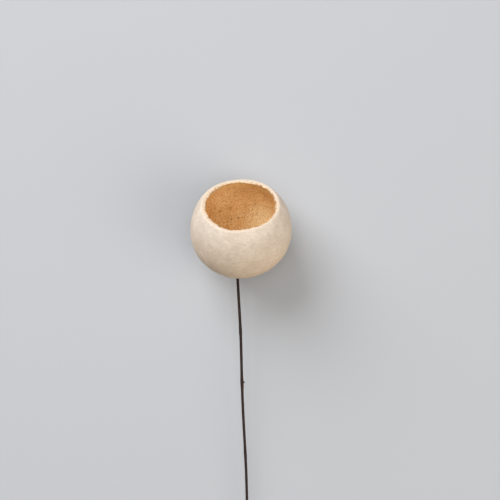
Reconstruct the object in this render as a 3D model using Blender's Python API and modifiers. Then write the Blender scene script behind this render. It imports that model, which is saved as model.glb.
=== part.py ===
"""A bell cup pod on its stick, lying on a table.

The pod is a hard round fruit shell, hollowed through a wide opening sawn off its top.
A thin stick is pushed through a drilled hole beside the base, and a bead of glue holds it.
The pod lies on a small worn flat with its opening turned half up, and the stick slopes
down from it to the table. Metres, +Z up, origin on the table in the middle of the flat.
"""

import math
import random

import bpy
from mathutils import Euler, Vector

# The shell's section about its own axis, heights counted from its widest part. The wall
# thickens from a polar angle on, and a rounded corner keeps a share of what was sharp.
EQUATOR_RADIUS = 0.0330
UPPER_HEIGHT = 0.0343
LOWER_HEIGHT = 0.0307
RIM_HEIGHT = 0.0225
RIM_SLOPE = 0.0009
WALL_AT_RIM = 0.0022
WALL_AT_BASE = 0.0027
WALL_GROWS_FROM = 1.2
RIM_ROUNDING = 0.0005
CORNER_LEFT = 0.3
CORNER_REACH = 1.5

# How the shell lies: its axis leans from upright towards +Y, with a slight turn
AXIS_LEAN = math.radians(45.9)
AXIS_TURN = math.radians(2.5)
POD_CENTRE = Vector((-0.0006, -0.0023, 0.03145))

# Natural unevenness: waves as (size, lobes round the axis, phase), and broad lumps as
# (size, azimuth, polar angle, spread)
SWELLINGS = ((0.00040, 1, 0.9), (0.00035, 2, 0.4), (0.00022, 3, 2.1), (0.00012, 5, 4.0))
LUMPS = ((0.0011, 2.53, 1.03, 0.50), (0.0009, 3.75, 2.06, 0.50))
RIM_WAVES = ((0.00040, 1, 1.57), (0.00023, 2, 2.79), (0.00030, 3, 3.08), (0.00008, 7, 2.2))
RIM_WAVES_FROM = 0.1
RIM_FLARE = 0.8
HOLLOW_OFFSET = 0.0003
NICK_DEPTH = 0.0003
NICK_REACH = 0.0012
NICK_SEED = 7

# The stick, from the hole in the shell to its cut end on the table
JOINT_OFFSET = Vector((-0.0025, -0.0292, -0.0122))
STICK_RADIUS_AT_POD = 0.00095
STICK_RADIUS_AT_CUT = 0.00080
STICK_REACH = 0.289
STICK_TIP = 0.0040
STICK_DRIFT = 0.0500
STICK_BOW = 0.0056
STICK_SAG = 0.0012
STICK_WANDER = 0.00035
STICK_WANDER_TURNS = 2.6
STICK_STRAIGHT_UNTIL = 0.2
KNOTS = ((0.13, 0.14), (0.255, 0.22), (0.42, 0.12), (0.60, 0.20), (0.78, 0.12), (0.91, 0.18))
KNOT_REACH = 0.0032
KNOT_ROWS = (-1.5, -0.6, 0.0, 0.6, 1.5)

# The glue round the stick where it enters the shell
BEAD_RADIUS = 0.0025
BEAD_HEIGHT = 0.0017

FIT_GAP = 0.0003

# How finely the bodies are built
TURN_STEPS = 64
INNER_ROWS = 20
OUTER_ROWS = 24
STICK_ROWS = 30
STICK_BEVEL = 2
HOLE_SIDES = 24
HOLE_LENGTH = 0.032
BEAD_SEGMENTS = 24
BEAD_RINGS = 12
HALVINGS = 40
TABLE_CUTTER = 0.1
SHARP_ANGLE = math.radians(40)

SHELL_COLOUR = (0.80, 0.68, 0.53, 1.0)
BARK_COLOUR = (0.050, 0.027, 0.018, 1.0)
GLUE_COLOUR = (0.20, 0.13, 0.07, 1.0)


def clear_scene():
    """Removes whatever the startup file holds."""
    for obj in list(bpy.data.objects):
        bpy.data.objects.remove(obj, do_unlink=True)


def new_collection(name):
    """A collection linked to the scene."""
    made = bpy.data.collections.new(name)
    bpy.context.scene.collection.children.link(made)
    return made


def finish_material(name, colour, roughness):
    """A plain material of this colour and roughness."""
    made = bpy.data.materials.new(name)
    made.use_nodes = True
    shader = made.node_tree.nodes["Principled BSDF"]
    shader.inputs["Base Color"].default_value = colour
    shader.inputs["Roughness"].default_value = roughness
    shader.inputs["Metallic"].default_value = 0.0
    return made


def smoothstep(low, high, value):
    """How far value has gone from low to high, from 0 to 1, eased at both ends."""
    share = min(max((value - low) / (high - low), 0.0), 1.0)
    return share * share * (3.0 - 2.0 * share)


def waves(terms, azimuth):
    """The height of a sum of waves at an angle round the axis."""
    return sum(size * math.cos(lobes * azimuth - phase) for size, lobes, phase in terms)


def section_point(polar, depth=0.0):
    """A point (radius, height) of the shell's section, this deep under the skin at a polar angle."""
    height = UPPER_HEIGHT if polar < math.pi / 2 else LOWER_HEIGHT
    across = math.sin(polar)
    up = math.cos(polar)
    outward = Vector((across / EQUATOR_RADIUS, up / height)).normalized()
    return Vector((EQUATOR_RADIUS * across, height * up)) - outward * depth


def wall(polar):
    """The wall's thickness at a polar angle."""
    return WALL_AT_RIM + (WALL_AT_BASE - WALL_AT_RIM) * smoothstep(WALL_GROWS_FROM, math.pi, polar)


def polar_at(height, depth):
    """The polar angle where the surface this deep under the skin reaches a height near the rim."""
    low = 0.0
    high = math.pi / 2
    for _ in range(HALVINGS):
        middle = (low + high) / 2
        if section_point(middle, depth).y > height:
            low = middle
        else:
            high = middle
    return high


def shell_profile():
    """The section from the inner pole up the hollow, over the rim and down the skin to the outer pole."""
    inner_polar = polar_at(RIM_HEIGHT - RIM_SLOPE, WALL_AT_RIM)
    outer_polar = polar_at(RIM_HEIGHT, 0.0)
    inside = section_point(inner_polar, WALL_AT_RIM)
    outside = section_point(outer_polar)
    across = (inside - outside).normalized() * RIM_ROUNDING
    down = Vector((0.0, -RIM_ROUNDING))
    rim = [
        inside - across * CORNER_LEFT + down * CORNER_LEFT,
        inside - across,
        (inside + outside) / 2,
        outside + across,
        outside + across * CORNER_LEFT + down * CORNER_LEFT,
    ]
    ease = CORNER_REACH * RIM_ROUNDING / EQUATOR_RADIUS
    inner = []
    for row in range(INNER_ROWS + 1):
        polar = math.pi + (inner_polar + ease - math.pi) * row / INNER_ROWS
        inner.append(section_point(polar, wall(polar)))
    outer = []
    for row in range(OUTER_ROWS + 1):
        polar = outer_polar + ease + (math.pi - outer_polar - ease) * row / OUTER_ROWS
        outer.append(section_point(polar))
    inner[0].x = 0.0
    outer[-1].x = 0.0
    return inner + rim + outer


def skin_profile(clearance):
    """The section of the closed fruit, its skin this far outside the shell's."""
    rows = OUTER_ROWS * 2
    points = [section_point(math.pi * row / rows, -clearance) for row in range(rows + 1)]
    points[0].x = 0.0
    points[-1].x = 0.0
    return points


def turned(name, profile, group):
    """The closed body that a section swings round local Z, as a plain mesh object."""
    mesh = bpy.data.meshes.new(name)
    edges = [(i, i + 1) for i in range(len(profile) - 1)]
    mesh.from_pydata([(p.x, 0.0, p.y) for p in profile], edges, [])
    obj = bpy.data.objects.new(name, mesh)
    group.objects.link(obj)
    screw = obj.modifiers.new("Turn", "SCREW")
    screw.axis = "Z"
    screw.angle = math.tau
    screw.steps = TURN_STEPS
    screw.render_steps = TURN_STEPS
    screw.use_merge_vertices = True
    screw.merge_threshold = 0.00001
    return plain_mesh(obj)


def plain_mesh(obj):
    """Puts what the object's modifiers make of it into its own mesh."""
    graph = bpy.context.evaluated_depsgraph_get()
    mesh = bpy.data.meshes.new_from_object(obj.evaluated_get(graph))
    obj.modifiers.clear()
    obj.data = mesh
    return obj


def nick_table():
    """How far the rim's inner edge is chipped at each step round it."""
    chance = random.Random(NICK_SEED)
    return [chance.uniform(-NICK_DEPTH, NICK_DEPTH) for _ in range(TURN_STEPS)]


def lump(direction):
    """How far the broad lumps push the wall out in this direction."""
    total = 0.0
    for size, azimuth, polar, spread in LUMPS:
        across = math.sin(polar)
        middle = Vector((across * math.cos(azimuth), across * math.sin(azimuth), math.cos(polar)))
        total += size * math.exp(-((direction.angle(middle) / spread) ** 2))
    return total


def grow(obj):
    """Takes a true turned body to the shape that grew: swollen, with a wavy rim and a chipped edge."""
    nicks = nick_table()
    wall_share = WALL_AT_RIM / EQUATOR_RADIUS
    for vertex in obj.data.vertices:
        point = vertex.co
        height = UPPER_HEIGHT if point.z > 0 else LOWER_HEIGHT
        azimuth = math.atan2(point.y, point.x)
        radius = math.hypot(point.x, point.y)
        fullness = math.hypot(radius / EQUATOR_RADIUS, point.z / height)
        inside = smoothstep(0.0, wall_share, 1.0 - fullness)
        near_rim = smoothstep(RIM_WAVES_FROM, 1.0, point.z / RIM_HEIGHT)
        at_lip = inside * smoothstep(RIM_HEIGHT - NICK_REACH, RIM_HEIGHT - RIM_SLOPE, point.z)
        rise = waves(RIM_WAVES, azimuth) * near_rim
        push = lump(point.normalized())
        radius *= 1.0 + (waves(SWELLINGS, azimuth) + push) / EQUATOR_RADIUS
        radius += nicks[round(azimuth / math.tau * TURN_STEPS) % TURN_STEPS] * at_lip - rise * RIM_FLARE
        point.x = radius * math.cos(azimuth)
        point.y = radius * math.sin(azimuth) - HOLLOW_OFFSET * near_rim * inside
        point.z += rise + push * point.z / height
    return obj


def lay_down(obj):
    """Turns and moves a body from the shell's own axis to where the pod lies."""
    obj.rotation_euler = Euler((-AXIS_LEAN, 0.0, AXIS_TURN))
    obj.location = POD_CENTRE
    return obj


def shade(obj):
    """Shades a body smooth, but for its sharp edges."""
    obj.data.shade_smooth()
    obj.data.set_sharp_from_angle(angle=SHARP_ANGLE)


def helper(obj, cutters):
    """Keeps a cutter out of the model: hidden, and drawn as wire."""
    for group in list(obj.users_collection):
        group.objects.unlink(obj)
    cutters.objects.link(obj)
    obj.hide_render = True
    obj.display_type = "WIRE"
    return obj


def subtract(obj, cutter):
    """Cuts one body by another."""
    cut = obj.modifiers.new("Cut " + cutter.name, "BOOLEAN")
    cut.operation = "DIFFERENCE"
    cut.solver = "EXACT"
    cut.object = cutter


def joint_point():
    """Where the stick's middle line crosses the shell's skin."""
    return POD_CENTRE + JOINT_OFFSET


def stick_point(share):
    """A point of the stick's middle line, at a share of its way from the shell to the cut end."""
    start = joint_point()
    across = start.x + STICK_DRIFT * STICK_REACH * share - STICK_BOW * share**2
    sway = STICK_WANDER * math.sin(math.tau * STICK_WANDER_TURNS * share)
    across += sway * smoothstep(0.0, STICK_STRAIGHT_UNTIL, share)
    up = start.z + (STICK_RADIUS_AT_CUT - start.z) * share - 4.0 * STICK_SAG * share * (1.0 - share)
    return Vector((across, start.y - STICK_REACH * share, up))


def stick_heading():
    """The stick's direction away from the shell, at the hole."""
    return (stick_point(0.001) - stick_point(0.0)).normalized()


def stick_radius(share):
    """The stick's radius: an even taper with a knot here and there."""
    radius = STICK_RADIUS_AT_POD + (STICK_RADIUS_AT_CUT - STICK_RADIUS_AT_POD) * share
    for place, swelling in KNOTS:
        away = (share - place) * STICK_REACH / KNOT_REACH
        radius *= 1.0 + swelling * math.exp(-(away**2))
    return radius


def build_stick(group):
    """The stick as a bevelled curve, with extra points round each knot."""
    shares = {row / STICK_ROWS for row in range(STICK_ROWS + 1)}
    for place, _ in KNOTS:
        shares |= {place + row * KNOT_REACH / STICK_REACH for row in KNOT_ROWS}
    shares = sorted(shares)
    tip = joint_point() - stick_heading() * STICK_TIP
    points = [(tip, STICK_RADIUS_AT_POD)] + [(stick_point(s), stick_radius(s)) for s in shares]
    curve = bpy.data.curves.new("stick", "CURVE")
    curve.dimensions = "3D"
    curve.bevel_depth = 1.0
    curve.bevel_resolution = STICK_BEVEL
    curve.use_fill_caps = True
    spline = curve.splines.new("POLY")
    spline.points.add(len(points) - 1)
    for knot, (place, radius) in zip(spline.points, points):
        knot.co = (*place, 1.0)
        knot.radius = radius
    stick = bpy.data.objects.new("stick", curve)
    group.objects.link(stick)
    return stick


def rod_cutter(name, radius, cutters):
    """A straight rod along the stick at the shell, thicker than the stick by the gap."""
    bpy.ops.mesh.primitive_cylinder_add(vertices=HOLE_SIDES, radius=radius, depth=HOLE_LENGTH)
    rod = helper(bpy.context.active_object, cutters)
    rod.name = name
    rod.location = joint_point()
    rod.rotation_euler = stick_heading().to_track_quat("Z", "Y").to_euler()
    return rod


def build_shell(group, rod, cutters):
    """The hollow shell, drilled for the stick and worn flat where it lies."""
    shell = lay_down(grow(turned("pod_cup", shell_profile(), group)))
    bpy.ops.mesh.primitive_cube_add(size=TABLE_CUTTER, location=(0.0, 0.0, -TABLE_CUTTER / 2))
    table = helper(bpy.context.active_object, cutters)
    table.name = "table_plane"
    subtract(shell, table)
    subtract(shell, rod)
    shade(shell)
    return shell


def build_bead(group, rod, cutters):
    """The bead of glue: a flat drop on the skin, with the stick's hole through it."""
    bpy.ops.mesh.primitive_uv_sphere_add(
        segments=BEAD_SEGMENTS,
        ring_count=BEAD_RINGS,
        radius=BEAD_RADIUS,
    )
    bead = bpy.context.active_object
    bead.name = "glue_bead"
    for owner in list(bead.users_collection):
        owner.objects.unlink(bead)
    group.objects.link(bead)
    for vertex in bead.data.vertices:
        vertex.co.z *= BEAD_HEIGHT / BEAD_RADIUS
    bead.location = joint_point()
    bead.rotation_euler = JOINT_OFFSET.to_track_quat("Z", "Y").to_euler()
    skin = lay_down(grow(turned("skin", skin_profile(FIT_GAP), cutters)))
    subtract(bead, helper(skin, cutters))
    subtract(bead, rod)
    shade(bead)
    return bead


def main():
    """Builds the pod, its stick and the glue."""
    clear_scene()
    parts = new_collection("bell_cup_pod")
    cutters = new_collection("cutters")
    rod = rod_cutter("stick_hole", STICK_RADIUS_AT_POD + FIT_GAP, cutters)
    shell = build_shell(parts, rod, cutters)
    shell.data.materials.append(finish_material("bleached_shell", SHELL_COLOUR, 0.75))
    stick = build_stick(parts)
    stick.data.materials.append(finish_material("bark", BARK_COLOUR, 0.6))
    bead = build_bead(parts, rod, cutters)
    bead.data.materials.append(finish_material("dried_glue", GLUE_COLOUR, 0.35))


main()
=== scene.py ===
"""The looks of a bell cup pod that lies on a table with its stick.

The pod is a grown shell: bleached and sanded outside, brown and corky in its hollow, with a pale
sawn lip between them. A thin twig with its bark on is glued into a hole beside its base.
Metres, +Z up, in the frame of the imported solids: the origin is the middle of the worn flat.
"""

import logging
import math
from dataclasses import dataclass
from enum import Enum

import bmesh
import bpy
from mathutils import Euler, Matrix, Vector, noise


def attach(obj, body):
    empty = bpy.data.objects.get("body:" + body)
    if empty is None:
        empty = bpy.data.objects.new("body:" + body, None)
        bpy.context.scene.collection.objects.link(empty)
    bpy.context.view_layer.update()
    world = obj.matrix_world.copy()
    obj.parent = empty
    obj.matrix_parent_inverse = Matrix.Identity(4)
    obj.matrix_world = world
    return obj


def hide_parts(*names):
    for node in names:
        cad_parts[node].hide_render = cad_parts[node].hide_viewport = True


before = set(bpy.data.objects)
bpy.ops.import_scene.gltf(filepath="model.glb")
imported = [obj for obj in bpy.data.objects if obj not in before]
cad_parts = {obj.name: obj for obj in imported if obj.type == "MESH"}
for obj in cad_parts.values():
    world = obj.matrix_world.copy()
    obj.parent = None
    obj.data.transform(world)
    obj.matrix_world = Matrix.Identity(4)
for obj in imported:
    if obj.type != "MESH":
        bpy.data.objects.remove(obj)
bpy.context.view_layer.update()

LOG = logging.getLogger("bell_cup_pod")
BODY = "root"
MILLIMETRE = 0.001
MERGE_DISTANCE = 0.00001
UP = Vector((0.0, 0.0, 1.0))

Colour = tuple[float, float, float]
Place = tuple[float, float, float]
Span = tuple[float, float]
Stops = tuple[tuple[float, Colour], ...]
PitPlaces = tuple[tuple[Vector, float], ...]
Socket = bpy.types.NodeSocket

WHITE: Colour = (1.0, 1.0, 1.0)


def tone(red: int, green: int, blue: int) -> Colour:
    """A screen colour, each part from 0 to 255, as the linear one that a shader takes."""
    shares = (red / 255, green / 255, blue / 255)
    return tuple(s / 12.92 if s <= 0.04045 else ((s + 0.055) / 1.055) ** 2.4 for s in shares)


def smoothstep(low: float, high: float, value: float) -> float:
    """How far value has gone from low to high, from 0 to 1, eased at both ends."""
    share = min(max((value - low) / (high - low), 0.0), 1.0)
    return share * share * (3.0 - 2.0 * share)


def bell(distance: float, reach: float) -> float:
    """A smooth bump of height 1 that fades out past its reach."""
    return math.exp(-((distance / reach) ** 2))


def hump(share: float) -> float:
    """A parabola that is 0 at the shares 0 and 1, and 1 halfway."""
    return 4.0 * share * (1.0 - share)


def apart(first: float, second: float) -> float:
    """How far apart two angles are, from 0 to half a turn."""
    return abs((first - second + math.pi) % math.tau - math.pi)


def around(azimuth: float, across: float, up: float) -> Vector:
    """A point at an angle round an upright axis, this far across from it and up along it."""
    return Vector((across * math.cos(azimuth), across * math.sin(azimuth), up))


class Slot(Enum):
    """The record's material slots."""

    SHELL = "bleached_shell"
    BARK = "bark"
    GLUE = "dried_glue"


class Mix(Enum):
    """How two colours or two numbers are put together."""

    OVER = "MIX"
    ADD = "ADD"
    MULTIPLY = "MULTIPLY"


@dataclass(frozen=True)
class Cloud:
    """Cloudy noise: the width of its largest blots, its finer layers and how strong they are."""

    size: float
    detail: float
    rough: float


@dataclass(frozen=True)
class Mottle:
    """A cloudy darkening: its shade where the noise is low, and nothing where it is high."""

    cloud: Cloud
    low: float
    high: float
    shade: Colour


@dataclass(frozen=True)
class Specks:
    """Scattered dots in cells of one spacing, each dark to its core and gone at its fade.

    Each cell has a random number: below the span no dot shows, and above it the dot has its
    full strength.
    """

    spacing: float
    core: float
    fade: float
    some: Span
    strength: float
    colour: Colour


@dataclass(frozen=True)
class Patch:
    """A round place on the shell, in the shell's axes, which is gone at its reach.

    It has its full strength within its core, which is a share of its reach.
    """

    place: Place
    reach: float
    core: float
    strength: float


class Board:
    """A material's node tree, with short ways to add the nodes that the finishes share."""

    def __init__(self, name: str) -> None:
        """Starts a material that has only its shader.

        Args:
            name: the material's name.
        """
        self.material = bpy.data.materials.new(name)
        self.material.use_nodes = True
        self.tree = self.material.node_tree
        self.shader = self.tree.nodes["Principled BSDF"]

    def add(self, kind: str, sockets: dict[str, object], **settings: object) -> bpy.types.Node:
        """Adds a node.

        Args:
            kind: the node's type without its common prefix, such as "TexNoise".
            sockets: input names to values, or to the outputs that feed them.
            settings: the node's own properties.

        Returns:
            The new node.
        """
        made = self.tree.nodes.new("ShaderNode" + kind)
        for setting, value in settings.items():
            setattr(made, setting, value)
        for socket, value in sockets.items():
            self.feed(made.inputs[socket], value)
        return made

    def feed(self, socket: Socket, value: object) -> None:
        """Links an output to an input, or sets the input's own value.

        Args:
            socket: the input.
            value: the output that feeds it, or its value.
        """
        if isinstance(value, Socket):
            self.tree.links.new(value, socket)
        else:
            socket.default_value = value

    def place(self) -> Socket:
        """The point in the object's own space."""
        return self.add("TexCoord", {}).outputs["Object"]

    def turned(self, where: Vector, turn: Euler) -> Socket:
        """The point in the axes of a piece that is moved and turned like this."""
        sockets = {"Vector": self.place(), "Location": where, "Rotation": turn}
        return self.add("Mapping", sockets, vector_type="TEXTURE").outputs["Vector"]

    def stretched(self, where: Socket, scale: Place) -> Socket:
        """Coordinates scaled along each axis: a pattern is long where the scale is small."""
        return self.add("Mapping", {"Vector": where, "Scale": scale}).outputs["Vector"]

    def attribute(self, name: str) -> Socket:
        """A number that the mesh carries at each point."""
        return self.add("Attribute", {}, attribute_name=name).outputs["Fac"]

    def cloud(self, where: Socket, cloud: Cloud) -> Socket:
        """Cloudy noise from 0 to 1, about 0.5."""
        layers = {"Detail": cloud.detail, "Roughness": cloud.rough}
        sockets = {"Vector": where, "Scale": 1.0 / cloud.size, **layers}
        return self.add("TexNoise", sockets).outputs[0]

    def cells(self, where: Socket, size: float) -> bpy.types.Node:
        """Cells of about this width: Distance is how far a point is from its cell's seed."""
        return self.add("TexVoronoi", {"Vector": where, "Scale": 1.0 / size})

    def span(
        self, value: object, low: float, high: float, start: float = 0.0, end: float = 1.0
    ) -> Socket:
        """Takes low to high over to start to end, with nothing beyond them."""
        sockets = {"Value": value, "From Min": low, "From Max": high, "To Min": start, "To Max": end}
        return self.add("MapRange", sockets, interpolation_type="SMOOTHSTEP").outputs["Result"]

    def patch(self, where: Socket, patch: Patch) -> Socket:
        """How much a patch covers a point.

        Args:
            where: the coordinates.
            patch: its place, reach and strength.

        Returns:
            From 0 to the patch's strength.
        """
        distance = self.add("VectorMath", {}, operation="DISTANCE")
        self.feed(distance.inputs[0], where)
        self.feed(distance.inputs[1], Vector(patch.place))
        core = patch.core * patch.reach
        return self.span(distance.outputs["Value"], core, patch.reach, patch.strength, 0.0)

    def together(self, first: object, second: object, mix: Mix = Mix.ADD) -> Socket:
        """Two numbers put together.

        Args:
            first: one number.
            second: the other number.
            mix: whether they are added or multiplied.

        Returns:
            Their sum or product.
        """
        made = self.add("Math", {}, operation=mix.value)
        self.feed(made.inputs[0], first)
        self.feed(made.inputs[1], second)
        return made.outputs[0]

    def ramp(self, value: object, stops: Stops) -> Socket:
        """A colour read off a row of stops.

        Args:
            value: from 0 to 1.
            stops: (place, colour) pairs in order.

        Returns:
            The colour.
        """
        made = self.add("ValToRGB", {"Fac": value})
        elements = made.color_ramp.elements
        while len(elements) < len(stops):
            elements.new(1.0)
        for element, (position, colour) in zip(elements, stops):
            element.position = position
            element.color = (*colour, 1.0)
        return made.outputs["Color"]

    def blend(self, share: object, first: object, second: object, mix: Mix = Mix.OVER) -> Socket:
        """Two colours, the second over the first.

        Args:
            share: how much of the second shows, from 0 to 1.
            first: the colour under it.
            second: the colour over it.
            mix: how they mix.

        Returns:
            The mixed colour.
        """
        made = self.add("Mix", {}, data_type="RGBA", blend_type=mix.value)
        colours = [s for s in made.inputs if s.type == "RGBA"]
        self.feed(made.inputs[0], share)
        for socket, colour in zip(colours, (first, second)):
            self.feed(socket, (*colour, 1.0) if isinstance(colour, tuple) else colour)
        return next(s for s in made.outputs if s.type == "RGBA")

    def lightened(self, share: Socket, colour: Socket, light: Colour) -> Socket:
        """A colour with a little light added to it, as much as the share says."""
        return self.blend(share, colour, self.blend(1.0, light, colour, Mix.ADD))

    def mottled(self, colour: object, where: Socket, mottle: Mottle) -> Socket:
        """A colour darkened by a mottle.

        Args:
            colour: the colour under it.
            where: the coordinates.
            mottle: its noise and its shade.

        Returns:
            The darkened colour.
        """
        stops = ((mottle.low, mottle.shade), (mottle.high, WHITE))
        shade = self.ramp(self.cloud(where, mottle.cloud), stops)
        return self.blend(1.0, colour, shade, Mix.MULTIPLY)

    def specked(self, colour: Socket, where: Socket, specks: Specks) -> Socket:
        """A colour with specks on it.

        Args:
            colour: the colour under them.
            where: the coordinates.
            specks: their spacing, sharpness and colour.

        Returns:
            The specked colour.
        """
        cells = self.cells(where, specks.spacing)
        near = self.span(cells.outputs["Distance"], specks.core, specks.fade, 1.0, 0.0)
        some = self.span(cells.outputs["Color"], *specks.some, 0.0, specks.strength)
        return self.blend(self.together(near, some, Mix.MULTIPLY), colour, specks.colour)

    def bump(self, height: Socket, depth: float, strength: float, under: Socket | None = None) -> Socket:
        """Fine relief in the shading.

        Args:
            height: from 0 to 1.
            depth: how deep the relief is, in metres.
            strength: how much of it shows.
            under: the relief that this one lies on.

        Returns:
            The bent normal.
        """
        sockets = {"Height": height, "Distance": depth, "Strength": strength}
        if under is not None:
            sockets["Normal"] = under
        return self.add("Bump", sockets).outputs["Normal"]

    def finish(self, colour: Socket, rough: Socket, normal: Socket, specular: float) -> bpy.types.Material:
        """Feeds the shader and gives the finished material.

        Args:
            colour: the base colour.
            rough: the roughness.
            normal: the bent normal.
            specular: how strongly it shines, the same all over.

        Returns:
            The material.
        """
        self.feed(self.shader.inputs["Base Color"], colour)
        self.feed(self.shader.inputs["Roughness"], rough)
        self.feed(self.shader.inputs["Normal"], normal)
        self.shader.inputs["Specular IOR Level"].default_value = specular
        return self.material


def new_piece(
    name: str, mesh: bmesh.types.BMesh, material: bpy.types.Material, stands_for: str
) -> bpy.types.Object:
    """Makes a finished piece of a shape, which rides on the pod's body.

    Args:
        name: the piece's name.
        mesh: its shape, in place. It is freed here.
        material: its finish.
        stands_for: the solid that it replaces.

    Returns:
        The piece.
    """
    data = bpy.data.meshes.new(name)
    mesh.to_mesh(data)
    mesh.free()
    data.shade_smooth()
    data.materials.append(material)
    piece = bpy.data.objects.new(name, data)
    bpy.context.scene.collection.objects.link(piece)
    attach(piece, BODY)
    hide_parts(stands_for)
    return piece


@dataclass(frozen=True)
class Wave:
    """A swell round the shell's axis."""

    size: float
    lobes: int
    phase: float

    def at(self, azimuth: float) -> float:
        """Its height at an angle round the axis."""
        return self.size * math.cos(self.lobes * azimuth - self.phase)


@dataclass(frozen=True)
class Lump:
    """A broad place where the wall stands out, at its angles round and from the shell's axis."""

    size: float
    azimuth: float
    polar: float
    spread: float

    def at(self, direction: Vector) -> float:
        """How far it pushes the wall out in a direction."""
        middle = around(self.azimuth, math.sin(self.polar), math.cos(self.polar))
        return self.size * bell(direction.angle(middle), self.spread)


@dataclass(frozen=True)
class Pit:
    """A small hole in the hollow's wall, at its angles round and from the shell's axis."""

    azimuth: float
    polar: float
    radius: float
    depth: float


@dataclass(frozen=True)
class Relief:
    """Small ups and downs of a surface, which grow in over a distance from the lip's edge."""

    height: float
    width: float
    grows_over: float
    falloff: float
    finer: float
    layers: int

    def at(self, point: Vector, away: float) -> float:
        """Its height at a point this far from the lip's edge."""
        grown = smoothstep(0.0, self.grows_over, away)
        return self.height * grown * noise.fractal(point / self.width, self.falloff, self.finer, self.layers)


@dataclass(frozen=True)
class ShellFinish:
    """Bleached skin, raw pale lip and brown cork, told apart by how far a point is past the lip."""

    skin_at_rim: Colour = tone(223, 210, 195)
    skin_at_base: Colour = tone(237, 209, 174)
    # Where the skin warms towards the base: partly its own tone, partly painted warm shade.
    skin_warmth_and_painted_shade: Span = (0.024, -0.032)
    skin_clouds: Mottle = Mottle(Cloud(0.010, 3.0, 0.55), 0.36, 0.60, tone(246, 243, 241))
    skin_strokes: Mottle = Mottle(Cloud(0.0013, 3.0, 0.65), 0.38, 0.60, tone(246, 244, 241))
    skin_grain: Mottle = Mottle(Cloud(0.0014, 3.0, 0.6), 0.36, 0.60, tone(249, 247, 246))
    skin_blots: Mottle = Mottle(Cloud(0.0040, 2.0, 0.5), 0.34, 0.62, tone(249, 247, 246))
    skin_specks: Specks = Specks(0.0036, 0.04, 0.10, (0.60, 0.72), 0.55, tone(178, 150, 120))
    skin_pores: Cloud = Cloud(0.0013, 4.0, 0.65)
    skin_rough: float = 0.62
    stroke_scale: Place = (0.42, 0.42, 1.2)
    pore_depth: float = 0.00020
    pore_strength: float = 0.5
    lip: Colour = tone(218, 199, 176)
    lip_grain: Mottle = Mottle(Cloud(0.0007, 3.0, 0.6), 0.36, 0.60, tone(236, 228, 218))
    lip_width: float = 0.0019
    lip_fade_outside: float = 0.0010
    lip_fade_inside: float = 0.0008
    tatter: Cloud = Cloud(0.0015, 2.0, 0.6)
    tatter_span: Span = (0.47, 0.60)
    tatter_reach: Span = (-0.0001, 0.0009)
    edge_fade: Span = (-0.00006, 0.00010)
    cork_dark: Colour = tone(206, 150, 94)
    cork: Colour = tone(242, 202, 142)
    cork_light: Colour = tone(252, 229, 183)
    cork_stops: tuple[float, float, float] = (0.32, 0.50, 0.70)
    cork_grain: Cloud = Cloud(0.0010, 3.0, 0.75)
    cork_patches: Cloud = Cloud(0.012, 2.0, 0.5)
    patch_span: Span = (0.3, 0.7)
    patch_tint: Span = (-0.04, 0.04)
    crumb_size: float = 0.00075
    crumb_tint: Span = (-0.07, 0.07)
    crumb_edge: float = 0.7
    crumb_height: float = 0.35
    crumb_depth: float = 0.0006
    crumb_strength: float = 0.7
    cork_rough: float = 0.85
    # Painted light: lightened patches on the hollow's right wall.
    cork_painted_light: Colour = (0.06, 0.15, 0.14)
    painted_light_patches: tuple[Patch, ...] = (
        Patch((0.0150, 0.0232, -0.0145), 0.0175, 0.2, 0.85),
        Patch((0.0190, 0.0190, 0.0160), 0.0120, 0.2, 0.85),
    )
    sanded_patch: Patch = Patch((-0.0158, 0.0184, 0.0195), 0.0088, 0.25, 0.7)
    # Painted light: the cork lightened in a ring near the lip, where the hollow's wall lies in shade.
    cork_edge_painted_light: Colour = (0.085, 0.105, 0.055)
    edge_light_span: Span = (0.0150, 0.0020)
    edge_light_share: float = 0.7
    cork_torn: Colour = tone(172, 126, 86)
    torn_span: Span = (-0.0003, 0.0005)
    # The dark brown painted into the pits as shade; the scattered holes use it too.
    pit: Colour = tone(146, 82, 32)
    pit_core: float = 0.3
    pit_reach: float = 1.5
    cork_holes: Specks = Specks(0.0026, 0.06, 0.17, (0.70, 0.82), 0.6, pit)
    specular: float = 0.3

    def make(self, middle: Vector, turn: Euler, pits: PitPlaces) -> bpy.types.Material:
        """Builds the material.

        Args:
            middle: the shell's middle.
            turn: how the shell is turned.
            pits: the places and radii of the hollow's pits, in the shell's axes.

        Returns:
            The material.
        """
        board = Board(Slot.SHELL.value)
        place = board.turned(middle, turn)
        inwards = board.attribute("inwards")
        tatter = board.span(board.cloud(place, self.tatter), *self.tatter_span, *self.tatter_reach)
        edge = board.together(inwards, tatter)
        hollow = board.span(edge, *self.edge_fade)
        lip_from = -self.lip_width - self.lip_fade_outside
        lip = board.span(inwards, lip_from, -self.lip_width + self.lip_fade_inside)
        cork, grain = self.cork_colour(board, place, edge, pits)
        sawn = board.mottled(self.lip, place, self.lip_grain)
        colour = board.blend(lip, self.skin_colour(board, place), sawn)
        colour = board.blend(hollow, colour, cork)
        rough = board.span(hollow, 0.0, 1.0, self.skin_rough, self.cork_rough)
        normal = self.relief(board, place, hollow, grain)
        return board.finish(colour, rough, normal, self.specular)

    def skin_colour(self, board: Board, place: Socket) -> Socket:
        """The bleached skin: cream that warms towards the base, partly its own tone and partly painted warm
        shade, with faint clouds, grain and specks.

        Args:
            board: the material's nodes.
            place: the point in the shell's axes.

        Returns:
            The colour.
        """
        height = board.add("SeparateXYZ", {"Vector": place}).outputs["Z"]
        # Warmer towards the base: partly the skin's own tone and partly painted warm shade.
        colour = board.blend(board.span(height, *self.skin_warmth_and_painted_shade), self.skin_at_rim, self.skin_at_base)
        colour = board.mottled(colour, place, self.skin_clouds)
        colour = board.mottled(colour, board.stretched(place, self.stroke_scale), self.skin_strokes)
        colour = board.mottled(colour, place, self.skin_grain)
        colour = board.mottled(colour, place, self.skin_blots)
        return board.specked(colour, place, self.skin_specks)

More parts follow.
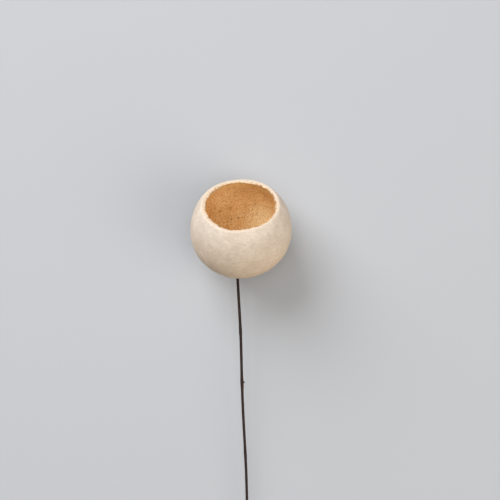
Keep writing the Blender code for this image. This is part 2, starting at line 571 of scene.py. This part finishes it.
    def cork_colour(
        self, board: Board, place: Socket, edge: Socket, pits: PitPlaces
    ) -> tuple[Socket, Socket]:
        """The hollow's brown cork: granular, with painted light in patches and in a ring near its edge,
        darker right at its edge, and with painted shade in its pits.

        Args:
            board: the material's nodes.
            place: the point in the shell's axes.
            edge: how far the point lies past the lip.
            pits: the places and radii of the pits.

        Returns:
            The colour, and the grain's height.
        """
        crumbs = board.cells(place, self.crumb_size)
        grain = board.cloud(place, self.cork_grain)
        patches = board.span(board.cloud(place, self.cork_patches), *self.patch_span, *self.patch_tint)
        mixed = board.together(grain, patches)
        mixed = board.together(mixed, board.span(crumbs.outputs["Color"], 0.0, 1.0, *self.crumb_tint))
        colour = board.ramp(mixed, tuple(zip(self.cork_stops, (self.cork_dark, self.cork, self.cork_light))))
        # Painted light in patches on the hollow's right wall.
        for patch in self.painted_light_patches:
            colour = board.lightened(board.patch(place, patch), colour, self.cork_painted_light)
        colour = board.blend(board.patch(place, self.sanded_patch), colour, self.lip)
        # Painted light: a lighter ring of cork near the lip.
        edge_light = board.span(edge, *self.edge_light_span, 0.0, self.edge_light_share)
        colour = board.lightened(edge_light, colour, self.cork_edge_painted_light)
        torn = board.span(board.attribute("inwards"), *self.torn_span, 1.0, 0.0)
        colour = board.blend(torn, colour, self.cork_torn)
        colour = board.specked(colour, place, self.cork_holes)
        # Painted shade: the cork darkened in and round each pit.
        for where, radius in pits:
            dark = board.patch(place, Patch(where, self.pit_reach * radius, self.pit_core, 1.0))
            colour = board.blend(dark, colour, self.pit)
        mounds = board.span(crumbs.outputs["Distance"], 0.0, self.crumb_edge, self.crumb_height, 0.0)
        return colour, board.together(grain, mounds)

    def relief(self, board: Board, place: Socket, hollow: Socket, grain: Socket) -> Socket:
        """Fine pores in the skin, and crumbs in the cork.

        Args:
            board: the material's nodes.
            place: the point in the shell's axes.
            hollow: 1 in the hollow, 0 outside.
            grain: the cork's grain.

        Returns:
            The bent normal.
        """
        outside = board.span(hollow, 0.0, 1.0, 1.0, 0.0)
        pores = board.together(board.cloud(place, self.skin_pores), outside, Mix.MULTIPLY)
        skin = board.bump(pores, self.pore_depth, self.pore_strength)
        crumbs = board.together(grain, hollow, Mix.MULTIPLY)
        return board.bump(crumbs, self.crumb_depth, self.crumb_strength, skin)


@dataclass
class PodCup:
    """The hollow shell, its section turned round its axis, grown uneven and laid on its belly."""

    equator_radius: float = 0.0330
    upper_height: float = 0.0343
    lower_height: float = 0.0307
    rim_height: float = 0.0225
    rim_slope: float = 0.0009
    wall_at_rim: float = 0.0022
    wall_at_base: float = 0.0027
    wall_grows_from: float = 1.2
    rim_rounding: float = 0.0006
    inner_rounding_share: float = 0.6
    outer_rounding_share: float = 1.9
    rounding_clearance: float = 1.6
    search_from: float = 0.2
    search_steps: int = 40
    lean: float = math.radians(45.9)
    turn: float = math.radians(2.5)
    middle: Vector = Vector((-0.0006, -0.0023, 0.03145))
    stick_hole: Vector = Vector((-0.0025, -0.0292, -0.0122))
    swellings: tuple[Wave, ...] = (
        Wave(0.00040, 1, 0.9),
        Wave(0.00035, 2, 0.4),
        Wave(0.00022, 3, 2.1),
        Wave(0.00012, 5, 4.0),
    )
    lumps: tuple[Lump, ...] = (Lump(0.0007, 2.53, 1.03, 0.50), Lump(0.0007, 3.75, 2.06, 0.50))
    rim_waves: tuple[Wave, ...] = (
        Wave(0.00040, 1, 1.57),
        Wave(0.00023, 2, 2.79),
        Wave(0.00030, 3, 3.08),
        Wave(0.00008, 7, 2.2),
    )
    rim_waves_from: float = 0.1
    rim_flare: float = 0.8
    rim_lift: float = 0.0004
    hollow_offset: float = 0.0003
    hollow_narrowing: float = 0.00048
    hollow_waves: tuple[Wave, ...] = (
        Wave(0.00034, 1, 0.11),
        Wave(0.00006, 2, 3.48),
        Wave(0.00017, 3, 4.68),
        Wave(0.00010, 4, 2.73),
        Wave(0.00030, 5, 2.74),
    )
    inside_from: float = 0.9
    worn_azimuth: float = 2.32
    worn_spread: float = 0.42
    worn_depth: float = 0.00055
    chip_reach: float = 0.0018
    chip_depth: float = 0.00030
    chip_scale: float = 0.50
    fine_chip_share: float = 0.8
    fine_chip_scale: float = 1.05
    notch_depth: float = 0.00075
    notch_scale: float = 0.85
    notch_span: Span = (0.12, 0.38)
    notch_shift: float = 7.0
    skin_dents: Relief = Relief(0.00010, 0.0090, 0.0040, 1.0, 2.0, 3)
    cork_crumbs: Relief = Relief(0.00012, 0.0022, 0.0008, 0.8, 2.1, 3)
    inner_rows: int = 130
    outer_rows: int = 80
    lip_rows: int = 9
    corner_rows: int = 4
    turn_steps: int = 400
    pits: tuple[Pit, ...] = (
        Pit(2.05, 1.81, 0.00062, 0.0005),
        Pit(1.79, 1.79, 0.00050, 0.0004),
        Pit(1.81, 2.08, 0.00058, 0.0004),
        Pit(1.63, 2.07, 0.00056, 0.0004),
        Pit(1.22, 1.69, 0.00046, 0.0003),
    )

    def orientation(self) -> Euler:
        """How the shell is turned from its own axis to where it lies."""
        return Euler((-self.lean, 0.0, self.turn))

    def placement(self) -> Matrix:
        """Takes the shell's own axes to where it lies."""
        return Matrix.Translation(self.middle) @ self.orientation().to_matrix().to_4x4()

    def joint(self) -> Vector:
        """Where the stick enters the shell."""
        return self.middle + self.stick_hole

    def height_at(self, up: float) -> float:
        """The half height of the shell's section on the side that a point is on."""
        return self.upper_height if up > 0 else self.lower_height

    def section(self, polar: float, depth: float = 0.0) -> Vector:
        """A point of the shell's section.

        Args:
            polar: its angle from the axis, at the section's middle.
            depth: how far under the skin it lies.

        Returns:
            Its distance from the axis and its height.
        """
        height = self.height_at(math.pi / 2 - polar)
        outward = Vector((math.sin(polar) / self.equator_radius, math.cos(polar) / height)).normalized()
        return Vector((self.equator_radius * math.sin(polar), height * math.cos(polar))) - outward * depth

    def wall(self, polar: float) -> float:
        """The wall's thickness, which grows towards the base."""
        grown = smoothstep(self.wall_grows_from, math.pi, polar)
        return self.wall_at_rim + (self.wall_at_base - self.wall_at_rim) * grown

    def polar_at(self, height: float, depth: float) -> float:
        """The angle where a surface under the skin reaches a height near the rim, by halving.

        Args:
            height: the height that it reaches.
            depth: how deep under the skin the surface lies.

        Returns:
            The angle from the axis.
        """
        low = self.search_from
        high = math.pi / 2
        for _ in range(self.search_steps):
            middle = (low + high) / 2
            if self.section(middle, depth).y > height:
                low = middle
            else:
                high = middle
        return high

    def lip_edges(self) -> tuple[float, float, Vector, Vector]:
        """The lip's inner and outer edges.

        Returns:
            The inner and the outer edge's angles from the axis, then their points.
        """
        inner = self.polar_at(self.rim_height - self.rim_slope, self.wall_at_rim)
        outer = self.polar_at(self.rim_height, 0.0)
        return inner, outer, self.section(inner, self.wall_at_rim), self.section(outer)

    def corner(self, point: Vector, before: Vector, after: Vector, rounding: float) -> list[Vector]:
        """A rounded corner of the section.

        Args:
            point: the sharp corner.
            before: a point of the line that leads to it.
            after: a point of the line that leads from it.
            rounding: how far from the corner the rounding starts.

        Returns:
            The points of the rounding.
        """
        start = point + (before - point).normalized() * rounding
        end = point + (after - point).normalized() * rounding
        found = []
        for step in range(self.corner_rows + 1):
            share = step / self.corner_rows
            found.append(start.lerp(point, share).lerp(point.lerp(end, share), share))
        return found

    def profile(self) -> list[Vector]:
        """The section, from the inner pole up the hollow, over the lip and down the skin.

        Returns:
            Its points, each a distance from the axis and a height.
        """
        inner_polar, outer_polar, inside, outside = self.lip_edges()
        ease = self.rounding_clearance * self.rim_rounding / self.equator_radius
        rows = []
        for row in range(self.inner_rows + 1):
            polar = math.pi + (inner_polar + ease - math.pi) * row / self.inner_rows
            rows.append(self.section(polar, self.wall(polar)))
        rows[0].x = 0.0
        skin_from = outer_polar + self.rounding_clearance * ease
        skin = []
        for row in range(self.outer_rows + 1):
            polar = skin_from + (math.pi - skin_from) * row / self.outer_rows
            skin.append(self.section(polar))
        skin[-1].x = 0.0
        inner_corner = self.corner(inside, rows[-1], outside, self.inner_rounding_share * self.rim_rounding)
        outer_corner = self.corner(outside, inside, skin[0], self.outer_rounding_share * self.rim_rounding)
        shares = [step / self.lip_rows for step in range(1, self.lip_rows)]
        flat = [inner_corner[-1].lerp(outer_corner[0], share) for share in shares]
        return rows + inner_corner + flat + outer_corner + skin

    def spun(self) -> bmesh.types.BMesh:
        """Spins the section round the shell's own axis.

        Returns:
            One closed surface.
        """
        mesh = bmesh.new()
        points = [mesh.verts.new((p.x, 0.0, p.y)) for p in self.profile()]
        edges = [mesh.edges.new(pair) for pair in zip(points, points[1:])]
        bmesh.ops.spin(
            mesh,
            geom=points + edges,
            cent=(0.0, 0.0, 0.0),
            axis=UP,
            angle=math.tau,
            steps=self.turn_steps,
            use_merge=True,
        )
        bmesh.ops.remove_doubles(mesh, verts=mesh.verts, dist=MERGE_DISTANCE)
        bmesh.ops.recalc_face_normals(mesh, faces=mesh.faces)
        return mesh

    def fullness(self, point: Vector) -> float:
        """1 on the skin of the true turned shell, and less inside it."""
        across = math.hypot(point.x, point.y)
        return math.hypot(across / self.equator_radius, point.z / self.height_at(point.z))

    def inwards(self, point: Vector, lip_edge: Vector) -> float:
        """How far a point of the true turned shell lies past the lip's inner edge.

        Args:
            point: a point of the spun surface.
            lip_edge: the section's point at the lip's inner edge.

        Returns:
            The way from the edge in the hollow, or minus the way from it on the lip and skin.
        """
        here = Vector((math.hypot(point.x, point.y), point.z))
        away = (here - lip_edge).length
        inside = self.fullness(point) < 1.0 - self.inside_from * self.wall_at_rim / self.equator_radius
        return away if inside and here.y < lip_edge.y else -away

    def chip(self, azimuth: float) -> float:
        """How far the lip's inner edge is broken away.

        Args:
            azimuth: the angle round the axis.

        Returns:
            The depth of its small chips and its notches together.
        """
        ring = around(azimuth, self.rim_height / MILLIMETRE, 0.0)
        chips = noise.noise(ring * self.chip_scale)
        chips += self.fine_chip_share * noise.noise(ring * self.fine_chip_scale)
        notches = smoothstep(*self.notch_span, noise.noise(ring * self.notch_scale + UP * self.notch_shift))
        return self.chip_depth * chips + self.notch_depth * notches

    def edge_shift(self, azimuth: float) -> float:
        """How far out the hollow's edge lies at an angle round the axis, with its worn place."""
        worn = self.worn_depth * bell(azimuth - self.worn_azimuth, self.worn_spread)
        return sum(wave.at(azimuth) for wave in self.hollow_waves) - self.hollow_narrowing + worn

    def grown(self, point: Vector) -> Vector:
        """Takes a point of the true turned shell to where it grew.

        Args:
            point: a point of the spun surface.

        Returns:
            The point on the uneven shell, still upright on its axis.
        """
        azimuth = math.atan2(point.y, point.x)
        radius = math.hypot(point.x, point.y)
        inside = smoothstep(0.0, self.wall_at_rim / self.equator_radius, 1.0 - self.fullness(point))
        near_rim = smoothstep(self.rim_waves_from, 1.0, point.z / self.rim_height)
        lip_from = self.rim_height - self.chip_reach
        at_lip = inside * smoothstep(lip_from, self.rim_height - self.rim_slope, point.z)
        rise = sum(wave.at(azimuth) for wave in self.rim_waves) * near_rim
        push = sum(lump.at(point.normalized()) for lump in self.lumps)
        swell = sum(wave.at(azimuth) for wave in self.swellings)
        radius = radius * (1.0 + (swell + push) / self.equator_radius) - rise * self.rim_flare
        radius += self.chip(azimuth) * at_lip
        radius += self.edge_shift(azimuth) * inside * near_rim
        lift = self.rim_lift * near_rim + push * point.z / self.height_at(point.z)
        moved = around(azimuth, radius, point.z + rise + lift)
        moved.y -= self.hollow_offset * near_rim * inside
        return moved

    def relief(self, point: Vector, inwards: float) -> float:
        """The skin's soft dents or the cork's crumbs, at a point this far past the lip's inner edge."""
        surface = self.skin_dents if inwards < 0.0 else self.cork_crumbs
        return surface.at(point, abs(inwards))

    def pit_places(self) -> PitPlaces:
        """Where the pits lie on the grown wall of the hollow.

        Returns:
            Their places and radii.
        """
        found = []
        for pit in self.pits:
            across, up = self.section(pit.polar, self.wall(pit.polar))
            found.append((self.grown(around(pit.azimuth, across, up)), pit.radius))
        return tuple(found)

    def pit_depth(self, point: Vector, places: PitPlaces) -> float:
        """How deep the pits make a point of the hollow."""
        pairs = zip(self.pits, places)
        return max(pit.depth * bell((point - place).length, radius) for pit, (place, radius) in pairs)

    def build(self, finish: ShellFinish) -> bpy.types.Object:
        """Builds the shell and dresses it.

        Args:
            finish: its finish.

        Returns:
            The piece that stands for the shell's solid.
        """
        mesh = self.spun()
        inwards_layer = mesh.verts.layers.float.new("inwards")
        _, _, lip_edge, _ = self.lip_edges()
        for vertex in mesh.verts:
            vertex[inwards_layer] = self.inwards(vertex.co, lip_edge)
            vertex.co = self.grown(vertex.co)
        mesh.normal_update()
        places = self.pit_places()
        moves = []
        for vertex in mesh.verts:
            height = self.relief(vertex.co, vertex[inwards_layer])
            if vertex[inwards_layer] > 0.0:
                height -= self.pit_depth(vertex.co, places)
            moves.append(vertex.normal * height)
        for vertex, move in zip(mesh.verts, moves):
            vertex.co += move
        bmesh.ops.transform(mesh, matrix=self.placement(), verts=mesh.verts)
        for vertex in mesh.verts:
            vertex.co.z = max(vertex.co.z, 0.0)
        material = finish.make(self.middle, self.orientation(), places)
        return new_piece("pod_shell", mesh, material, "pod_cup")


@dataclass(frozen=True)
class BarkFinish:
    """Thin dark bark with lengthwise wrinkles, grey scars and amber where it peeled."""

    bark_dark: Colour = tone(22, 11, 6)
    bark: Colour = tone(48, 29, 20)
    bark_stops: Span = (0.30, 0.68)
    scar: Colour = tone(86, 69, 60)
    amber: Colour = tone(112, 62, 34)
    wood: Colour = tone(196, 164, 120)
    fibres: Cloud = Cloud(0.0007, 4.0, 0.65)
    fibre_scale: Place = (1.0, 0.12, 1.0)
    fibre_span: Span = (0.3, 0.7)
    fibre_depth: float = 0.00025
    fibre_strength: float = 0.8
    scars: Cloud = Cloud(0.004, 4.0, 0.7)
    scar_scale: Place = (0.3, 1.0, 0.3)
    scar_span: Span = (0.60, 0.72)
    scar_share: float = 0.6
    rough: Span = (0.50, 0.72)
    specular: float = 0.3

    def make(self) -> bpy.types.Material:
        """Builds the material.

        Returns:
            The material.
        """
        board = Board(Slot.BARK.value)
        place = board.place()
        fibres = board.cloud(board.stretched(place, self.fibre_scale), self.fibres)
        colour = board.ramp(fibres, tuple(zip(self.bark_stops, (self.bark_dark, self.bark))))
        scars = board.cloud(board.stretched(place, self.scar_scale), self.scars)
        colour = board.blend(board.span(scars, *self.scar_span, 0.0, self.scar_share), colour, self.scar)
        colour = board.blend(board.attribute("peeled"), colour, self.amber)
        colour = board.blend(board.attribute("cut"), colour, self.wood)
        rough = board.span(fibres, *self.fibre_span, *self.rough)
        normal = board.bump(fibres, self.fibre_depth, self.fibre_strength)
        return board.finish(colour, rough, normal, self.specular)


@dataclass(frozen=True)
class Knot:
    """A swelling of the stick, with a bud on one side, where a side shoot grew."""

    share: float
    swelling: float
    side: float
    bud: float


@dataclass
class Stick:
    """The twig, from its tip inside the shell to its cut end on the table.

    A share is a part of its way from the shell to the cut end. A side is an angle round it.
    """

    joint: Vector
    radius_at_pod: float = 0.00095
    radius_at_cut: float = 0.00086
    reach: float = 0.289
    tip: float = 0.0040
    drift: float = 0.0500
    bow: float = 0.0056
    sag: float = 0.0012
    wander: float = 0.00035
    wander_turns: float = 2.6
    wander_grows: float = 0.2
    heading_step: float = 0.002
    knots: tuple[Knot, ...] = (
        Knot(0.13, 0.14, 2.6, 0.00010),
        Knot(0.250, 0.20, math.pi, 0.00020),
        Knot(0.42, 0.12, 3.6, 0.00012),
        Knot(0.60, 0.20, 0.4, 0.00030),
        Knot(0.78, 0.12, 2.2, 0.00012),
        Knot(0.91, 0.18, 5.6, 0.00025),
    )
    knot_reach: float = 0.0032
    bud_reach: float = 0.0011
    bud_spread: float = 0.7
    stub_share: float = 0.2515
    stub_radius: float = 0.00052
    stub_taper: float = 0.75
    stub_length: float = 0.0020
    stub_lean: float = math.radians(14)
    stub_rise: float = 0.3
    stub_sides: int = 12
    flap_share: float = 0.2600
    flap_size: Place = (0.0012, 0.0040, 0.00016)
    flap_sink: float = 0.2
    flap_bulge: float = 0.000275
    flap_lift: float = 0.00033
    flap_narrowing: float = 0.6
    flap_bareness: float = 0.9
    flap_columns: int = 4
    flap_rows: int = 12
    bare_length: float = 0.0020
    bare_spread: float = 0.8
    wrinkle: float = 0.00005
    wrinkle_round: float = 2.2
    wrinkle_length: float = 0.006
    fine_wrinkle: float = 0.8
    fine_wrinkle_scale: float = 2.3
    cap_inset: float = 0.12
    sides: int = 16
    rows: int = 440

    def line(self, share: float) -> Vector:
        """A point of its middle line.

        Args:
            share: how far along it lies.

        Returns:
            The point.
        """
        across = self.joint.x + self.drift * self.reach * share - self.bow * share**2
        sway = self.wander * math.sin(math.tau * self.wander_turns * share)
        across += sway * smoothstep(0.0, self.wander_grows, share)
        up = self.joint.z + (self.radius_at_cut - self.joint.z) * share - self.sag * hump(share)
        return Vector((across, self.joint.y - self.reach * share, up))

    def heading(self, share: float) -> Vector:
        """Which way it runs at a share of its way."""
        start = max(share, 0.0)
        return (self.line(start + self.heading_step) - self.line(start)).normalized()

    def centre(self, share: float) -> Vector:
        """A point of its middle line, which runs on straight into the shell.

        Args:
            share: how far along it lies, below 0 inside the shell.

        Returns:
            The point.
        """
        if share >= 0.0:
            return self.line(share)
        return self.line(0.0) + self.heading(0.0) * share * self.reach

    def radius(self, share: float, side: float) -> float:
        """Its radius, with its knots, buds and wrinkles.

        Args:
            share: how far along it is.
            side: the angle round it.

        Returns:
            The radius.
        """
        found = self.radius_at_pod + (self.radius_at_cut - self.radius_at_pod) * share
        for knot in self.knots:
            away = (share - knot.share) * self.reach
            found *= 1.0 + knot.swelling * bell(away, self.knot_reach)
            found += knot.bud * bell(away, self.bud_reach) * bell(apart(side, knot.side), self.bud_spread)
        spot = around(side, self.wrinkle_round, share * self.reach / self.wrinkle_length)
        wrinkles = noise.noise(spot) + self.fine_wrinkle * noise.noise(spot * self.fine_wrinkle_scale)
        return found + self.wrinkle * wrinkles

    def bareness(self, share: float, side: float) -> float:
        """How far the bark is peeled off where the flap came away, on the stub's side."""
        away = (share - self.flap_share) * self.reach
        return bell(away, self.bare_length) * bell(apart(side, math.pi), self.bare_spread)

    def stub(self, mesh: bmesh.types.BMesh) -> None:
        """Adds the broken stub of a side shoot, which stands out to +X.

        Args:
            mesh: the stick's shape, which the stub joins.
        """
        made = bmesh.ops.create_cone(
            mesh,
            cap_ends=True,
            segments=self.stub_sides,
            radius1=self.stub_radius,
            radius2=self.stub_taper * self.stub_radius,
            depth=self.stub_length,
        )
        lean = Euler((0.0, math.pi / 2 - self.stub_rise, self.stub_lean))
        out = UP * (0.5 * self.stub_length)
        out.rotate(lean)
        matrix = Matrix.Translation(self.line(self.stub_share) + out) @ lean.to_matrix().to_4x4()
        bmesh.ops.transform(mesh, matrix=matrix, verts=made["verts"])

    def flap(self, mesh: bmesh.types.BMesh, peeled: bmesh.types.BMLayerItem) -> None:
        """Adds a curled strip of bark that has come off beside the stub.

        Args:
            mesh: the stick's shape, which the strip joins.
            peeled: the layer that says where the inner bark shows.
        """
        wide, long, thick = self.flap_size
        made = bmesh.ops.create_grid(
            mesh, x_segments=self.flap_columns, y_segments=self.flap_rows, size=0.5
        )
        faces = list({face for vertex in made["verts"] for face in vertex.link_faces})
        start = self.line(self.flap_share)
        for vertex in made["verts"]:
            along = 0.5 - vertex.co.y
            side = vertex.co.x * wide / self.radius_at_pod * (1.0 - self.flap_narrowing * along**2)
            away = self.radius_at_pod * (1.0 - self.flap_sink * along)
            away += self.flap_bulge * hump(along) + self.flap_lift * along**2
            vertex[peeled] = self.flap_bareness
            vertex.co = start + Vector((away * math.cos(side), long * (0.5 - along), away * math.sin(side)))
        bmesh.ops.solidify(mesh, geom=faces, thickness=thick)

    def build(self, finish: BarkFinish) -> bpy.types.Object:
        """Builds the stick and dresses it.

        Args:
            finish: its finish.

        Returns:
            The piece that stands for the stick's solid.
        """
        mesh = bmesh.new()
        bmesh.ops.create_cone(mesh, cap_ends=True, segments=self.sides, radius1=1.0, radius2=1.0, depth=1.0)
        long_edges = [e for e in mesh.edges if abs(e.verts[0].co.z - e.verts[1].co.z) > 0.5]
        bmesh.ops.subdivide_edges(mesh, edges=long_edges, cuts=self.rows, use_grid_fill=True)
        caps = [face for face in mesh.faces if len(face.verts) > 4]
        bmesh.ops.inset_individual(mesh, faces=caps, thickness=self.cap_inset)
        cut = mesh.verts.layers.float.new("cut")
        peeled = mesh.verts.layers.float.new("peeled")
        first = -self.tip / self.reach
        for vertex in mesh.verts:
            share = first + (1.0 - first) * (vertex.co.z + 0.5)
            side = math.atan2(vertex.co.y, vertex.co.x)
            rim = math.hypot(vertex.co.x, vertex.co.y)
            vertex[cut] = 1.0 if rim < 1.0 - 0.5 * self.cap_inset else 0.0
            vertex[peeled] = self.bareness(share, side)
            ahead = self.heading(share)
            right = ahead.cross(UP).normalized()
            out = right * math.cos(side) + right.cross(ahead) * math.sin(side)
            vertex.co = self.centre(share) + out * rim * self.radius(share, side)
        self.stub(mesh)
        self.flap(mesh, peeled)
        for vertex in mesh.verts:
            vertex.co.z = max(vertex.co.z, 0.0)
        bmesh.ops.recalc_face_normals(mesh, faces=mesh.faces)
        return new_piece("twig", mesh, finish.make(), "stick")


@dataclass(frozen=True)
class GlueFinish:
    """Dried dark glue with a dull shine and dust in it."""

    deep: Colour = tone(58, 36, 24)
    thin: Colour = tone(120, 84, 52)
    stops: Span = (0.35, 0.70)
    clouds: Cloud = Cloud(0.0012, 3.0, 0.6)
    cloud_span: Span = (0.3, 0.7)
    rough: Span = (0.28, 0.5)
    depth: float = 0.0002
    strength: float = 0.6
    specular: float = 0.5

    def make(self) -> bpy.types.Material:
        """Builds the material.

        Returns:
            The material.
        """
        board = Board(Slot.GLUE.value)
        clouds = board.cloud(board.place(), self.clouds)
        colour = board.ramp(clouds, tuple(zip(self.stops, (self.deep, self.thin))))
        rough = board.span(clouds, *self.cloud_span, *self.rough)
        return board.finish(colour, rough, board.bump(clouds, self.depth, self.strength), self.specular)


@dataclass
class GlueBead:
    """The mound of glue round the stick where it enters the shell."""

    joint: Vector
    outward: Vector
    along: Vector
    radius: float = 0.0025
    height: float = 0.0015
    climb: float = 0.0009
    climb_spread: float = 0.55
    unevenness: float = 0.10
    uneven_scale: float = 1.4
    segments: int = 56
    rings: int = 28

    def build(self, finish: GlueFinish) -> bpy.types.Object:
        """Builds the bead and dresses it.

        Args:
            finish: its finish.

        Returns:
            The piece that stands for the bead's solid.
        """
        mesh = bmesh.new()
        bmesh.ops.create_uvsphere(mesh, u_segments=self.segments, v_segments=self.rings, radius=1.0)
        turn = self.outward.to_track_quat("Z", "Y").to_matrix()
        for vertex in mesh.verts:
            point = vertex.co.copy()
            point *= 1.0 + self.unevenness * noise.fractal(point * self.uneven_scale, 1.0, 2.0, 2)
            flat = math.hypot(point.x, point.y)
            placed = turn @ Vector((point.x * self.radius, point.y * self.radius, point.z * self.height))
            if point.z > 0.0:
                placed += self.along * self.climb * bell(flat, self.climb_spread)
            vertex.co = self.joint + placed
        return new_piece("glue_mound", mesh, finish.make(), "glue_bead")


@dataclass(frozen=True)
class Lamp:
    """A soft light: bearing from +Y towards +X and rise in degrees, power in watts."""

    name: str
    bearing: float
    rise: float
    power: float
    colour: Colour


@dataclass
class Studio:
    """The table, the soft lights and the camera, straight above as in the photograph.

    The pod stands this many pixels left of the picture's middle and this many above it.
    """

    pod: PodCup
    picture: int = 500
    pixel: float = 0.00066
    height: float = 1.2
    sensor: float = 36.0
    pod_left: float = 8.9
    pod_up: float = 19.6
    table_half: float = 3.0
    table_tone: Colour = tone(178, 180, 184)
    table_rough: float = 0.9
    table_specular: float = 0.1
    sky_strength: float = 0.08
    lamp_distance: float = 2.4
    lamp_size: float = 1.8
    lamps: tuple[Lamp, ...] = (
        Lamp("key", 324.0, 36.0, 72.0, (0.985, 1.0, 1.02)),
        Lamp("fill", 106.0, 42.0, 24.0, (1.0, 0.925, 0.81)),
        Lamp("above", 0.0, 90.0, 25.0, (1.0, 0.99, 0.97)),
        Lamp("low", 130.0, 26.0, 9.5, (1.0, 0.97, 0.92)),
    )

    def camera(self) -> None:
        """Looks straight down, with the pod left of and above the picture's middle."""
        data = bpy.data.cameras.new("camera")
        data.sensor_width = self.sensor
        data.lens = self.height / self.pixel / self.picture * self.sensor
        eye = bpy.data.objects.new("camera", data)
        shift = Vector((self.pod_left, -self.pod_up, 0.0)) * self.pixel
        eye.location = self.pod.middle + shift + UP * self.height
        bpy.context.scene.collection.objects.link(eye)
        bpy.context.scene.camera = eye

    def light(self, lamp: Lamp) -> None:
        """Sets up a square soft light aimed at the pod.

        Args:
            lamp: where it stands and how it shines.
        """
        data = bpy.data.lights.new(lamp.name, "AREA")
        data.shape = "SQUARE"
        data.size = self.lamp_size
        data.energy = lamp.power
        data.color = lamp.colour
        away = Vector((0.0, 1.0, 0.0))
        away.rotate(Euler((math.radians(lamp.rise), 0.0, -math.radians(lamp.bearing))))
        placed = bpy.data.objects.new(lamp.name, data)
        placed.location = self.pod.middle + away * self.lamp_distance
        placed.rotation_euler = away.to_track_quat("Z", "Y").to_euler()
        bpy.context.scene.collection.objects.link(placed)

    def table(self) -> None:
        """Lays a plain pale table top."""
        mesh = bmesh.new()
        bmesh.ops.create_grid(mesh, x_segments=1, y_segments=1, size=self.table_half)
        data = bpy.data.meshes.new("table_top")
        mesh.to_mesh(data)
        mesh.free()
        top = bpy.data.objects.new("table_top", data)
        bpy.context.scene.collection.objects.link(top)
        board = Board("table_top")
        board.shader.inputs["Base Color"].default_value = (*self.table_tone, 1.0)
        board.shader.inputs["Roughness"].default_value = self.table_rough
        board.shader.inputs["Specular IOR Level"].default_value = self.table_specular
        data.materials.append(board.material)

    def sky(self) -> None:
        """Sets even light from all round."""
        world = bpy.data.worlds.new("studio")
        world.use_nodes = True
        background = world.node_tree.nodes["Background"]
        background.inputs["Color"].default_value = (*WHITE, 1.0)
        background.inputs["Strength"].default_value = self.sky_strength
        bpy.context.scene.world = world

    def build(self) -> None:
        """Sets up the whole studio."""
        bpy.context.scene.view_settings.view_transform = "Standard"
        self.camera()
        self.table()
        self.sky()
        for lamp in self.lamps:
            self.light(lamp)


def main() -> None:
    """Builds the studio and then the object piece by piece."""
    logging.basicConfig(level=logging.INFO, format="%(message)s")
    pod = PodCup()
    Studio(pod).build()
    stick = Stick(pod.joint())
    bead = GlueBead(pod.joint(), pod.stick_hole.normalized(), stick.heading(0.0))
    for piece in (pod.build(ShellFinish()), stick.build(BarkFinish()), bead.build(GlueFinish())):
        LOG.info("%s: %d points, %d faces", piece.name, len(piece.data.vertices), len(piece.data.polygons))


if __name__ == "__main__":
    main()
